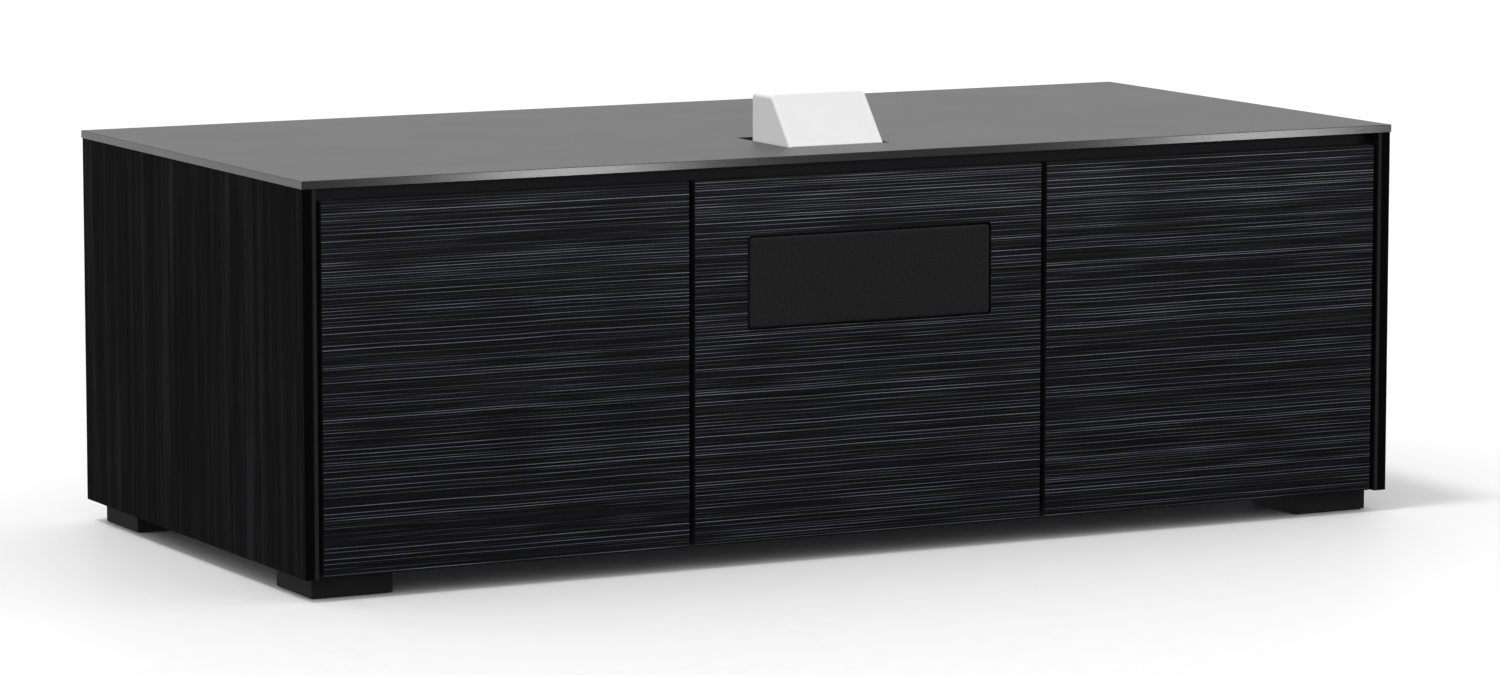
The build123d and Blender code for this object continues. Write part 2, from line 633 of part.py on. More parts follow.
def hinge_cups(name):
    """The pressed cups of a door's two hinges, each with its flange, two screws and the cross pin."""
    edge, way = DOORS[name]
    centres = cup_centres(name)
    pin_x = edge + way * HINGE_FROM_EDGE
    inner = CUP_RADIUS - CUP_WALL
    half_pin = (inner**2 - (CUP_FROM_EDGE - HINGE_FROM_EDGE) ** 2) ** 0.5 - PIN_END_GAP
    with BuildPart() as cups:
        with BuildSketch(at_y(DOOR_BACK)):
            with Locations(*centres):
                Circle(CUP_RADIUS)
        extrude(amount=CUP_DEPTH)
        with BuildSketch(at_y(DOOR_BACK)):
            with Locations(*centres):
                Circle(CUP_RADIUS + CUP_RIM)
            with Locations(*[(x + way * CUP_SCREW_SHIFT, z) for x, z in centres]):
                RectangleRounded(CUP_WING_WIDTH, CUP_WING_LENGTH, CUP_WING_CORNER)
        extrude(amount=-CUP_FLANGE)
        with BuildSketch(at_y(DOOR_BACK + CUP_FLANGE)):
            with Locations(*centres):
                Circle(inner)
        extrude(amount=CUP_DEPTH + CUP_FLANGE - CUP_WALL, mode=Mode.SUBTRACT)
        for x, z in centres:
            with BuildSketch(Plane.XY.offset(z - half_pin)):
                with Locations((pin_x, HINGE_Y)):
                    Circle(PIN_RADIUS)
            extrude(amount=2 * half_pin)
            for end in (-1, 1):
                with BuildSketch(Plane.XY.offset(z + end * half_pin)):
                    with Locations((pin_x + way * PIN_LUG_SHIFT, HINGE_Y)):
                        Rectangle(PIN_LUG[0], PIN_LUG[1])
                extrude(amount=-end * PIN_LUG[2])
        with BuildSketch(at_y(DOOR_BACK + CUP_FLANGE)):
            with Locations(*cup_screws(name)):
                Circle(CUP_SCREW_HEAD[0])
        extrude(amount=-CUP_SCREW_HEAD[1])
        with BuildSketch(at_y(DOOR_BACK)):
            with Locations(*cup_screws(name)):
                Circle(SCREW_RADIUS - SCREW_CLEARANCE)
        extrude(amount=SCREW_DEPTH - SCREW_HOLE_SPARE)
    return cups


def strike(name):
    """The steel disc on the back of a door that the latch magnet holds."""
    with BuildPart() as disc:
        with BuildSketch(at_y(DOOR_BACK)):
            with Locations((latch_x(name), LATCH_Z)):
                Circle(STRIKE_RADIUS)
        extrude(amount=-STRIKE_THICKNESS)
    return disc


# ------------------------------------------------------------------ hinge arms and plates
def arm_path(name):
    """The centre line of a hinge arm in plan: out of the cup, round the door's edge and along the board."""
    edge, way = DOORS[name]
    rise = radians(ARM_RISE)
    strip = HINGE_OVERLAY + PLATE_THICKNESS + ARM_THICKNESS / 2
    steps = [
        (HINGE_FROM_EDGE + EYE_RADIUS - EYE_OVERLAP, HINGE_FROM_FACE + EYE_LIFT),
        (HINGE_FROM_EDGE + ARM_REACH * cos(rise), HINGE_FROM_FACE + ARM_REACH * sin(rise)),
        *ARM_BENDS,
        (strip, ARM_LANDING),
        (strip, PLATE_FRONT + PLATE_LENGTH + ARM_TAIL - FACE),
    ]
    return [(edge + way * out, FACE + back) for out, back in steps]


def hinge_arms(name):
    """A door's two hinge arms, each a bent strip with an eye that turns on the cup's pin."""
    edge, way = DOORS[name]
    eye = (edge + way * HINGE_FROM_EDGE, HINGE_Y)
    with BuildPart() as arms:
        for z in HINGE_HEIGHTS:
            level = Plane.XY.offset(z - ARM_WIDTH / 2)
            with BuildSketch(level):
                with BuildLine():
                    FilletPolyline(*arm_path(name), radius=ARM_RADII)
                    offset(amount=ARM_THICKNESS / 2)
                make_face()
                with Locations(eye):
                    Circle(EYE_RADIUS)
                    Circle(PIN_RADIUS + PIN_CLEARANCE, mode=Mode.SUBTRACT)
            extrude(amount=ARM_WIDTH)
    return arms


with BuildPart() as hinge_mounting_plates:
    for name, (edge, way) in DOORS.items():
        face_x = edge + way * HINGE_OVERLAY
        for z in HINGE_HEIGHTS:
            with BuildSketch(Plane.YZ.offset(face_x)):
                with Locations((PLATE_FRONT + PLATE_LENGTH / 2, z)):
                    RectangleRounded(PLATE_LENGTH, PLATE_WIDTH, PLATE_CORNER)
                with Locations((PLATE_SCREW_Y, z)):
                    RectangleRounded(*PLATE_WING, PLATE_WING_CORNER)
                with Locations((PLATE_SCREW_Y, z - PLATE_SCREW_Z), (PLATE_SCREW_Y, z + PLATE_SCREW_Z)):
                    Circle(SCREW_RADIUS, mode=Mode.SUBTRACT)
            extrude(amount=way * PLATE_THICKNESS)
            for dz in (-PLATE_SCREW_Z, PLATE_SCREW_Z):
                with BuildSketch(Plane.YZ.offset(face_x + way * PLATE_THICKNESS)):
                    with Locations((PLATE_SCREW_Y, z + dz)):
                        Circle(PLATE_SCREW_HEAD[0])
                extrude(amount=way * PLATE_SCREW_HEAD[1])
                with BuildSketch(Plane.YZ.offset(face_x + way * PLATE_THICKNESS)):
                    with Locations((PLATE_SCREW_Y, z + dz)):
                        Circle(SCREW_RADIUS - SCREW_CLEARANCE)
                extrude(amount=-way * (SCREW_DEPTH + PLATE_THICKNESS - SCREW_HOLE_SPARE))
save(hinge_mounting_plates, "hinge_mounting_plates")


# ------------------------------------------------------------------ push latches
def latch_x(name):
    """The X of a door's latch, beside the upright that its free edge closes on."""
    edge, way = DOORS[name]
    free = edge + way * DOOR_WIDTH
    return free - way * (HINGE_OVERLAY + LATCH_WIDTH / 2)


with BuildPart() as latch_housings:
    for name in DOORS:
        with BuildSketch(at_y(LATCH_FRONT)):
            with Locations((latch_x(name), LATCH_Z)):
                RectangleRounded(LATCH_WIDTH, LATCH_HEIGHT, LATCH_CORNER)
                Circle(PLUNGER_BORE, mode=Mode.SUBTRACT)
        extrude(amount=-LATCH_LENGTH)
save(latch_housings, "latch_housings")


def plunger(name):
    """The rod of a push latch, with a magnet tip just clear of the door's steel disc."""
    tip = DOOR_BACK + STRIKE_THICKNESS + STRIKE_GAP
    with BuildPart() as rod:
        with BuildSketch(at_y(tip)):
            with Locations((latch_x(name), LATCH_Z)):
                Circle(PLUNGER_TIP_RADIUS)
        extrude(amount=-PLUNGER_TIP)
        with BuildSketch(at_y(tip + PLUNGER_TIP)):
            with Locations((latch_x(name), LATCH_Z)):
                Circle(PLUNGER_RADIUS)
        extrude(amount=-PLUNGER_LENGTH)
    return rod


for name in DOORS:
    save(door_core(name), f"{name}_door_core")
    save(door_facing(name), f"{name}_door_facing")
    save(hinge_cups(name), f"{name}_hinge_cups")
    save(strike(name), f"{name}_strike")
    save(hinge_arms(name), f"{name}_hinge_arms")
    save(plunger(name), f"{name}_latch_plunger")

with BuildPart() as door_bumpers:
    for name, (edge, way) in DOORS.items():
        bumper_x = edge + way * (DOOR_WIDTH - BUMPER_FROM_FREE_EDGE)
        bumper_heights = (FOOT_HEIGHT + BOARD / 2, RAIL_BOTTOM + BUMPER_ABOVE_RAIL)
        with BuildSketch(at_y(CARCASS_FRONT)):
            with Locations(*[(bumper_x, z) for z in bumper_heights]):
                Circle(BUMPER_RADIUS)
        extrude(amount=FRAME_SETBACK - DOOR_THICKNESS - BUMPER_GAP)
    bumper_tips = door_bumpers.faces().filter_by(Axis.Y).group_by(Axis.Y)[0]
    fillet(bumper_tips.edges(), radius=BUMPER_ROUND)
save(door_bumpers, "door_bumpers")

# ------------------------------------------------------------------ grille in the centre door
GRILLE_PANEL = (GRILLE_WIDTH - 2 * GRILLE_REVEAL, GRILLE_HEIGHT - 2 * GRILLE_REVEAL)
GRILLE_BACK = DOOR_BACK - GRILLE_LEDGE_THICKNESS
CLOTH_FRONT = FACE + CLOTH_SETBACK

with BuildPart() as grille_frame:
    inside = (GRILLE_PANEL[0] - 2 * CLOTH, GRILLE_PANEL[1] - 2 * CLOTH)
    with BuildSketch(at_y(CLOTH_FRONT + CLOTH)):
        with Locations(GRILLE_CENTRE):
            RectangleRounded(*inside, GRILLE_CORNER - CLOTH)
            RectangleRounded(
                inside[0] - 2 * GRILLE_BAR, inside[1] - 2 * GRILLE_BAR, GRILLE_CORNER, mode=Mode.SUBTRACT
            )
            with GridLocations(inside[0] / 3, 0, 2, 1):
                Rectangle(GRILLE_BRACE, inside[1] - GRILLE_BAR)
    extrude(amount=-(GRILLE_BACK - CLOTH_FRONT - CLOTH))
save(grille_frame, "grille_frame")

with BuildPart() as grille_cloth:
    with BuildSketch(at_y(CLOTH_FRONT)):
        with Locations(GRILLE_CENTRE):
            RectangleRounded(*GRILLE_PANEL, GRILLE_CORNER)
    extrude(amount=-(GRILLE_BACK - CLOTH_FRONT))
    with BuildSketch(at_y(CLOTH_FRONT + CLOTH)):
        with Locations(GRILLE_CENTRE):
            RectangleRounded(*inside, GRILLE_CORNER - CLOTH)
    extrude(amount=-(GRILLE_BACK - CLOTH_FRONT), mode=Mode.SUBTRACT)
save(grille_cloth, "grille_cloth")

# ------------------------------------------------------------------ projector
PROJECTOR_LEFT = PROJECTOR_X - PROJECTOR_WIDTH / 2
PROJECTOR_RIGHT = PROJECTOR_X + PROJECTOR_WIDTH / 2
PROJECTOR_CENTRE_Y = PROJECTOR_FRONT + PROJECTOR_DEPTH / 2
HOOD_TOP = HEIGHT + HOOD_HEIGHT
HOOD_BACK = PROJECTOR_FRONT + HOOD_DEPTH
CASE_BOTTOM = PROJECTOR_STAND + PROJECTOR_FOOT
HOOD_BREAK = HEIGHT + HOOD_LIP  # where the hood's front turns from upright to sloping
LENS_Y = HOOD_BACK - LENS_FROM_HOOD_BACK
PROJECTOR_FOOT_SPAN = (
    PROJECTOR_WIDTH - 2 * PROJECTOR_FOOT_INSET[0],
    PROJECTOR_DEPTH - 2 * PROJECTOR_FOOT_INSET[1],
)
# the lower and upper end of the slope inside the hood, in Y and Z
throat_low = (PROJECTOR_FRONT + 3 * HOOD_WALL, HOOD_BREAK - HOOD_WALL)
throat_high = (PROJECTOR_FRONT + HOOD_SLOPE_RUN + HOOD_WALL, HOOD_TOP - 2 * HOOD_WALL)

with BuildPart() as projector_case:
    with BuildSketch(Plane.XY.offset(CASE_BOTTOM)):
        with Locations((PROJECTOR_X, PROJECTOR_CENTRE_Y)):
            RectangleRounded(PROJECTOR_WIDTH, PROJECTOR_DEPTH, HOOD_ROUND)
    extrude(amount=PROJECTOR_CASE_TOP - CASE_BOTTOM)
    chamfer(projector_case.faces().sort_by(Axis.Z)[0].edges(), length=CASE_EDGE)
    case_sides = [Plane.YZ.offset(PROJECTOR_LEFT), Plane.YZ.offset(PROJECTOR_RIGHT)]
    for side, way in zip(case_sides, (1, -1)):
        with BuildSketch(side):
            with Locations((PROJECTOR_CENTRE_Y, (CASE_BOTTOM + PROJECTOR_CASE_TOP) / 2)):
                with GridLocations(CASE_VENT_PITCH, 0, CASE_VENT_COUNT, 1):
                    SlotOverall(CASE_VENT[0], CASE_VENT[1], rotation=90)
        extrude(amount=way * CASE_VENT[2], mode=Mode.SUBTRACT)
save(projector_case, "projector_case")

with BuildPart() as projector_cover:
    with BuildSketch(Plane.XY.offset(PROJECTOR_CASE_TOP)):
        with Locations((PROJECTOR_X, PROJECTOR_CENTRE_Y)):
            RectangleRounded(PROJECTOR_WIDTH, PROJECTOR_DEPTH, HOOD_ROUND)
    extrude(amount=PROJECTOR_DECK - PROJECTOR_CASE_TOP)
    with BuildSketch(Plane.YZ.offset(PROJECTOR_LEFT)):
        with BuildLine():
            Polyline(
                (PROJECTOR_FRONT, PROJECTOR_DECK),
                (PROJECTOR_FRONT, HOOD_BREAK),
                (PROJECTOR_FRONT + HOOD_SLOPE_RUN, HOOD_TOP),
                (HOOD_BACK, HOOD_TOP),
                (HOOD_BACK, PROJECTOR_DECK),
                close=True,
            )
        make_face()
    extrude(amount=PROJECTOR_WIDTH)
    hood_crown = projector_cover.faces().filter_by(Axis.Z).sort_by(Axis.Z)[-1]
    fillet(hood_crown.edges().filter_by(Axis.Y), radius=HOOD_ROUND)
    hood_slope = projector_cover.edges().filter_by(Axis.X).group_by(Axis.Z)[-1].sort_by(Axis.Y)[0]
    fillet(hood_slope, radius=HOOD_BROW_ROUND)
    # the throat behind the mirror, open to the back
    with BuildSketch(Plane.YZ.offset(PROJECTOR_LEFT + 2 * HOOD_WALL)):
        with BuildLine():
            Polyline(
                (HOOD_BACK + 1, PROJECTOR_DECK),
                (throat_low[0], PROJECTOR_DECK),
                throat_low,
                throat_high,
                (HOOD_BACK + 1, throat_high[1]),
                close=True,
            )
        make_face()
    extrude(amount=PROJECTOR_WIDTH - 4 * HOOD_WALL, mode=Mode.SUBTRACT)
    with BuildSketch(Plane.XY.offset(PROJECTOR_DECK)):
        with Locations((PROJECTOR_X, LENS_Y)):
            RectangleRounded(*LENS_SIZE, LENS_CORNER)
    extrude(amount=-LENS_THICKNESS - LENS_RECESS, mode=Mode.SUBTRACT)
save(projector_cover, "projector_cover")

with BuildPart() as projector_lens:
    with BuildSketch(Plane.XY.offset(PROJECTOR_DECK - LENS_RECESS)):
        with Locations((PROJECTOR_X, LENS_Y)):
            RectangleRounded(*LENS_SIZE, LENS_CORNER)
    extrude(amount=-LENS_THICKNESS)
save(projector_lens, "projector_lens")

with BuildPart() as projector_mirror:
    inside_slope = Plane(
        origin=(PROJECTOR_X, (throat_low[0] + throat_high[0]) / 2, (throat_low[1] + throat_high[1]) / 2),
        x_dir=(1, 0, 0),
        z_dir=(0, throat_high[1] - throat_low[1], throat_low[0] - throat_high[0]),
    )
    with BuildSketch(inside_slope):
        RectangleRounded(PROJECTOR_WIDTH - 6 * HOOD_WALL, MIRROR_HEIGHT, MIRROR_CORNER)
    extrude(amount=MIRROR_THICKNESS)
save(projector_mirror, "projector_mirror")

with BuildPart() as projector_feet:
    with BuildSketch(Plane.XY.offset(PROJECTOR_STAND)):
        with Locations((PROJECTOR_X, PROJECTOR_CENTRE_Y)):
            with GridLocations(*PROJECTOR_FOOT_SPAN, 2, 2):
                Circle(PROJECTOR_FOOT_RADIUS)
    extrude(amount=PROJECTOR_FOOT)
save(projector_feet, "projector_feet")
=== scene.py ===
"""The looks of the three-door media cabinet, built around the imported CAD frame.

Metres, +X right, +Y back, +Z up; the doors face -Y and the origin is on the floor under the middle.
"""

import json
from math import cos, pi, radians, sin

import bmesh
import bpy
import numpy as np
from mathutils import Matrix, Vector


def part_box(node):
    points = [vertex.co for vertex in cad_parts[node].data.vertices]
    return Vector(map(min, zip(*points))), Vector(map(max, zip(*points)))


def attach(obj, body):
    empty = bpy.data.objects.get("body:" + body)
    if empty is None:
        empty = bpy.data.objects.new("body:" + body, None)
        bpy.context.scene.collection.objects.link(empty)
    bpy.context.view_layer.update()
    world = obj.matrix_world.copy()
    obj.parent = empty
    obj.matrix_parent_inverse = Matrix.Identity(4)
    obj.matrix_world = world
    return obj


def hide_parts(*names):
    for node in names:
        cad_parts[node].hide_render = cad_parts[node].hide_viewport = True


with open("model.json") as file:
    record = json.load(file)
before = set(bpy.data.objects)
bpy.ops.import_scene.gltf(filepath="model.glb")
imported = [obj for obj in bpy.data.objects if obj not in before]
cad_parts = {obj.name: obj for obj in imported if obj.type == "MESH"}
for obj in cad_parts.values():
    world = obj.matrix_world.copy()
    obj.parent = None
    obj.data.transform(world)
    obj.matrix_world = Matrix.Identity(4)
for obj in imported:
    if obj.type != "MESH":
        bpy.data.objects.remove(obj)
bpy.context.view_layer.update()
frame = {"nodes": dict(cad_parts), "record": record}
CAD_NODES = frame["nodes"]

MM = 0.001
SEED = 5
SIDES = ("left", "right")
DOORS = ("left", "centre", "right")


# ------------------------------------------------------------------ shader helpers
def new_material(name):
    """A fresh node material, its tree and its Principled shader."""
    material = bpy.data.materials.new(name)
    material.use_nodes = True
    return material, material.node_tree, material.node_tree.nodes["Principled BSDF"]


def add(tree, kind, inputs=None, **settings):
    """A shader node, with its settings and with each named or numbered input set or linked."""
    made = tree.nodes.new(kind)
    for key, value in settings.items():
        setattr(made, key, value)
    for key, value in (inputs or {}).items():
        if isinstance(value, bpy.types.NodeSocket):
            tree.links.new(value, made.inputs[key])
        else:
            made.inputs[key].default_value = value
    return made


def maths(tree, operation, *values):
    """The result of a sum on values and sockets."""
    return add(tree, "ShaderNodeMath", dict(enumerate(values)), operation=operation).outputs[0]


def stretched(tree, scale):
    """Object coordinates multiplied by a scale on each axis, in cycles per metre."""
    place = add(tree, "ShaderNodeTexCoord")
    return add(tree, "ShaderNodeMapping", {"Vector": place.outputs["Object"], "Scale": scale}).outputs[0]


def noise(tree, scale, detail=4.0, roughness=0.6):
    """Noise over object coordinates, with a scale on each axis in cycles per metre."""
    inputs = {"Vector": stretched(tree, scale), "Scale": 1.0, "Detail": detail, "Roughness": roughness}
    return add(tree, "ShaderNodeTexNoise", inputs).outputs["Fac"]


def spread(tree, value, low, high, start=0.3, end=0.7):
    """A value of start to end stretched onto low to high."""
    inputs = {"Value": value, 1: start, 2: end, 3: low, 4: high}
    return add(tree, "ShaderNodeMapRange", inputs).outputs[0]


def two_colours(tree, factor, first, second):
    """A mix of two colours, each of them fixed or a socket."""
    mix = add(tree, "ShaderNodeMix", {0: factor}, data_type="RGBA")
    for slot, colour in ((6, first), (7, second)):
        if isinstance(colour, bpy.types.NodeSocket):
            tree.links.new(colour, mix.inputs[slot])
        else:
            mix.inputs[slot].default_value = (*colour, 1.0)
    return mix.outputs[2]


def bump(tree, shader, height, depth, strength=1.0):
    """Fine relief on the shader, with its depth in metres."""
    made = add(tree, "ShaderNodeBump", {"Height": height, "Strength": strength, "Distance": depth})
    tree.links.new(made.outputs[0], shader.inputs["Normal"])


def surface(shader, specular=0.5, metallic=0.0, coat=0.0, coat_roughness=0.1):
    """The shader values that are the same all over."""
    shader.inputs["Specular IOR Level"].default_value = specular
    shader.inputs["Metallic"].default_value = metallic
    shader.inputs["Coat Weight"].default_value = coat
    shader.inputs["Coat Roughness"].default_value = coat_roughness


def grey(level):
    """A neutral colour."""
    return (level, level, level)


def even(scale):
    """The same noise scale on every axis, in cycles per metre."""
    return (scale, scale, scale)


# ------------------------------------------------------------------ materials
MOULDED = (even(30.0), even(900.0))  # a broad noise and a fine one, as scales in cycles per metre
BOARD = (even(30.0), even(500.0))
BRUSHED = ((6.0, 60.0, 60.0), (40.0, 2500.0, 2500.0))
THREAD_PITCH = 1.1 * MM
POLISHED_EDGE = 0.16  # roughness of the top slab's edges
FLAT_FACE = 0.5  # a face whose normal rises more than this is the flat of the slab


def grained(name, scales, dark, light, roughness, relief, specular=0.5, metallic=0.0):
    """A two-tone material whose colour, roughness and relief follow one stretched noise and one fine one."""
    material, tree, shader = new_material(name)
    broad = noise(tree, scales[0], detail=3.0)
    fine = noise(tree, scales[1], detail=5.0, roughness=0.65)
    both = maths(tree, "ADD", broad, fine)
    colour = two_colours(tree, spread(tree, both, 0.0, 1.0, start=0.7, end=1.3), dark, light)
    tree.links.new(colour, shader.inputs["Base Color"])
    tree.links.new(spread(tree, fine, *roughness), shader.inputs["Roughness"])
    bump(tree, shader, fine, relief)
    surface(shader, specular, metallic)
    return material


def combed_material():
    """The door face: blue-black valleys, thin grey ridge tips, and hair-fine lines between the ridges."""
    material, tree, shader = new_material("combed door face")
    ridge = add(tree, "ShaderNodeAttribute", attribute_name="ridge").outputs["Fac"]
    tip_share = maths(tree, "POWER", ridge, 2.2)
    hair = noise(tree, (7.0, 7.0, 420.0), detail=4.0, roughness=0.75)
    patch = noise(tree, (9.0, 9.0, 14.0), detail=2.0)
    hair_share = spread(tree, hair, 0.0, 1.0, start=0.38, end=0.72)
    valley = two_colours(tree, hair_share, (0.001, 0.001, 0.0013), (0.0092, 0.0096, 0.012))
    tip = two_colours(tree, spread(tree, patch, 0.0, 1.0), (0.11, 0.114, 0.132), (0.18, 0.187, 0.214))
    tree.links.new(two_colours(tree, tip_share, valley, tip), shader.inputs["Base Color"])
    tree.links.new(spread(tree, hair, 0.46, 0.62), shader.inputs["Roughness"])
    bump(tree, shader, hair, depth=0.15 * MM)
    surface(shader, specular=0.1)
    return material


def top_material():
    """Satin black lacquer with a fine orange peel on the flat, and polished edges."""
    material, tree, shader = new_material("satin black top")
    cloud = noise(tree, even(7.0), detail=2.0)
    grain = noise(tree, even(800.0), detail=3.0)
    colour = two_colours(tree, spread(tree, grain, 0.0, 1.0), grey(0.013), grey(0.026))
    tree.links.new(colour, shader.inputs["Base Color"])
    normal = add(tree, "ShaderNodeNewGeometry").outputs["Normal"]
    upward = add(tree, "ShaderNodeSeparateXYZ", {0: normal}).outputs["Z"]
    flat = maths(tree, "GREATER_THAN", upward, FLAT_FACE)
    satin = maths(tree, "MULTIPLY", spread(tree, cloud, 0.22, 0.24), flat)
    tree.links.new(maths(tree, "ADD", satin, POLISHED_EDGE), shader.inputs["Roughness"])
    bump(tree, shader, grain, depth=0.012 * MM)
    surface(shader)
    return material


def veneer_material():
    """Black stained veneer with upright grain: near-black bands, and greyer fibres on the ridges."""
    material, tree, shader = new_material("black veneer")
    ridge = add(tree, "ShaderNodeAttribute", attribute_name="ridge").outputs["Fac"]
    band = noise(tree, (48.0, 48.0, 1.3), detail=4.0, roughness=0.7)
    fibre = noise(tree, (420.0, 420.0, 5.0), detail=3.0, roughness=0.7)
    tone = maths(tree, "MULTIPLY_ADD", ridge, maths(tree, "ADD", band, fibre), -0.5)
    lift = maths(tree, "ADD", spread(tree, band, 0.0, 0.6, start=0.42, end=0.62), tone)
    share = spread(tree, lift, 0.0, 1.0, start=0.0, end=0.9)
    tree.links.new(two_colours(tree, share, grey(0.0004), (0.04, 0.04, 0.046)), shader.inputs["Base Color"])
    tree.links.new(spread(tree, fibre, 0.46, 0.62), shader.inputs["Roughness"])
    bump(tree, shader, fibre, depth=0.12 * MM)
    surface(shader, specular=0.06)
    return material


def grille_material():
    """Open-weave speaker cloth: warp and weft threads crossing at about a millimetre."""
    material, tree, shader = new_material("grille cloth")
    turns = 2 * pi / THREAD_PITCH
    place = add(tree, "ShaderNodeSeparateXYZ", {0: add(tree, "ShaderNodeTexCoord").outputs["Object"]})
    waves = [maths(tree, "SINE", maths(tree, "MULTIPLY", place.outputs[axis], turns)) for axis in ("X", "Z")]
    weave = maths(tree, "MULTIPLY", *waves)
    fuzz = noise(tree, even(350.0), detail=4.0, roughness=0.7)
    colour = two_colours(tree, spread(tree, fuzz, 0.0, 1.0), (0.0105, 0.01, 0.01), (0.03, 0.0293, 0.0293))
    tree.links.new(colour, shader.inputs["Base Color"])
    tree.links.new(spread(tree, weave, 0.8, 0.95, start=-1.0, end=1.0), shader.inputs["Roughness"])
    bump(tree, shader, weave, depth=0.12 * MM, strength=0.8)
    surface(shader, specular=0.15)
    shader.inputs["Sheen Weight"].default_value = 0.1
    shader.inputs["Sheen Roughness"].default_value = 0.5
    return material


def glass_material():
    """The coated lens window."""
    material, tree, shader = new_material("coated glass")
    smear = noise(tree, even(60.0), detail=2.0)
    tree.links.new(spread(tree, smear, 0.03, 0.07), shader.inputs["Roughness"])
    colour = two_colours(tree, smear, (0.01, 0.01, 0.02), (0.02, 0.015, 0.035))
    tree.links.new(colour, shader.inputs["Base Color"])
    surface(shader, specular=0.8, coat=1.0, coat_roughness=0.02)
    return material


def make_materials():
    """One material for each slot of the record."""
    return {
        "top_finish": top_material(),
        "side_veneer": veneer_material(),
        "door_texture": combed_material(),
        "carcass_board": grained(
            "black board", BOARD, grey(0.014), grey(0.024), (0.48, 0.6), 0.05 * MM, specular=0.35
        ),
        "black_metal": grained(
            "black anodised", BRUSHED, grey(0.008), grey(0.015), (0.34, 0.42), 0.01 * MM, specular=0.35
        ),
        "hinge_steel": grained(
            "nickel", MOULDED, (0.56, 0.55, 0.53), (0.66, 0.65, 0.63), (0.34, 0.42), 0.004 * MM, metallic=0.9
        ),
        "screw_steel": grained(
            "black zinc", MOULDED, grey(0.05), grey(0.09), (0.3, 0.42), 0.01 * MM, metallic=0.9
        ),
        "foot_black": grained(
            "foot lacquer", MOULDED, grey(0.005), grey(0.011), (0.42, 0.52), 0.04 * MM, specular=0.25
        ),
        "pad_rubber": grained(
            "rubber", MOULDED, grey(0.008), grey(0.015), (0.75, 0.9), 0.08 * MM, specular=0.3
        ),
        "black_plastic": grained("black plastic", MOULDED, grey(0.01), grey(0.018), (0.45, 0.55), 0.05 * MM),
        "grey_plastic": grained("grey plastic", MOULDED, grey(0.22), grey(0.27), (0.4, 0.5), 0.04 * MM),
        "grille_fabric": grille_material(),
        "projector_white": grained(
            "white plastic", MOULDED, grey(0.8), grey(0.84), (0.42, 0.5), 0.02 * MM, specular=0.4
        ),
        "lens_glass": glass_material(),
        "mirror_face": grained(
            "mirror", MOULDED, grey(0.88), grey(0.92), (0.02, 0.05), 0.001 * MM, metallic=1.0
        ),
        "pin_steel": grained(
            "bright steel", MOULDED, grey(0.5), grey(0.6), (0.25, 0.35), 0.01 * MM, metallic=1.0
        ),
    }


MATERIALS = make_materials()
for part in frame["record"]["subparts"]:
    for held in CAD_NODES[part["node"]].material_slots:
        held.material = MATERIALS[part["material_slot"]]


# ------------------------------------------------------------------ mesh helpers
def smooth_noise(rng, u, v, knots_u, knots_v):
    """Smooth random values in -1..1 on the grid of v down and u across, both in 0..1."""
    knots = rng.uniform(-1.0, 1.0, (knots_v, knots_u))
    across, down = u * (knots_u - 1), v * (knots_v - 1)
    i, j = np.minimum(across.astype(int), knots_u - 2), np.minimum(down.astype(int), knots_v - 2)
    a, b = across - i, down - j
    a, b = a * a * (3 - 2 * a), b * b * (3 - 2 * b)
    i, j = i[None, :], j[:, None]
    upper = knots[j, i] * (1 - a) + knots[j, i + 1] * a
    lower = knots[j + 1, i] * (1 - a) + knots[j + 1, i + 1] * a
    return upper * (1 - b[:, None]) + lower * b[:, None]


def make_piece(name, mesh_maker, body, slot, nodes):
    """Turns a filled bmesh into a piece that rides on a body and stands for those CAD nodes."""
    mesh = bpy.data.meshes.new(name)
    mesh_maker.to_mesh(mesh)
    mesh_maker.free()
    mesh.materials.append(MATERIALS[slot])
    piece = bpy.data.objects.new(name, mesh)
    bpy.context.scene.collection.objects.link(piece)
    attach(piece, body)
    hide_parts(*nodes)
    return piece


def grid_mesh(points, ridge):
    """A bmesh grid through rows of points, with the ridge share of each kept as an attribute."""
    rows, columns = ridge.shape
    made = bmesh.new()
    share = made.verts.layers.float.new("ridge")
    corners = [made.verts.new(point) for point in points.reshape(-1, 3)]
    for corner, value in zip(corners, ridge.ravel()):
        corner[share] = value
    for row in range(rows - 1):
        start = row * columns
        for column in range(start, start + columns - 1):
            across = (corners[column], corners[column + 1])
            made.faces.new((*across, corners[column + columns + 1], corners[column + columns]))
    return made


def flat_box(name):
    """The centre and half size, in X and Z, of a CAD node's box."""
    low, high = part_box(name)
    centre = np.array(((low.x + high.x) / 2, (low.z + high.z) / 2))
    return centre, np.array(((high.x - low.x) / 2, (high.z - low.z) / 2))


def extrude_rims(made, axis, level):
    """Extrudes every rim of a sheet straight back to a plane, and gives what it made."""
    rims = [edge for edge in made.edges if edge.is_boundary]
    grown = bmesh.ops.extrude_edge_only(made, edges=rims)["geom"]
    for corner in (g for g in grown if isinstance(g, bmesh.types.BMVert)):
        corner.co[axis] = level
    return grown


def close_back(made, direction, level):
    """Takes every rim of a sheet straight back to a plane and fills the back, so the piece is closed."""
    axis = max(range(3), key=lambda k: abs(direction[k]))
    grown = extrude_rims(made, axis, level)
    back = [g for g in grown if isinstance(g, bmesh.types.BMEdge)]
    bmesh.ops.triangle_fill(made, edges=back, use_beauty=True, normal=direction)
    bmesh.ops.recalc_face_normals(made, faces=made.faces)


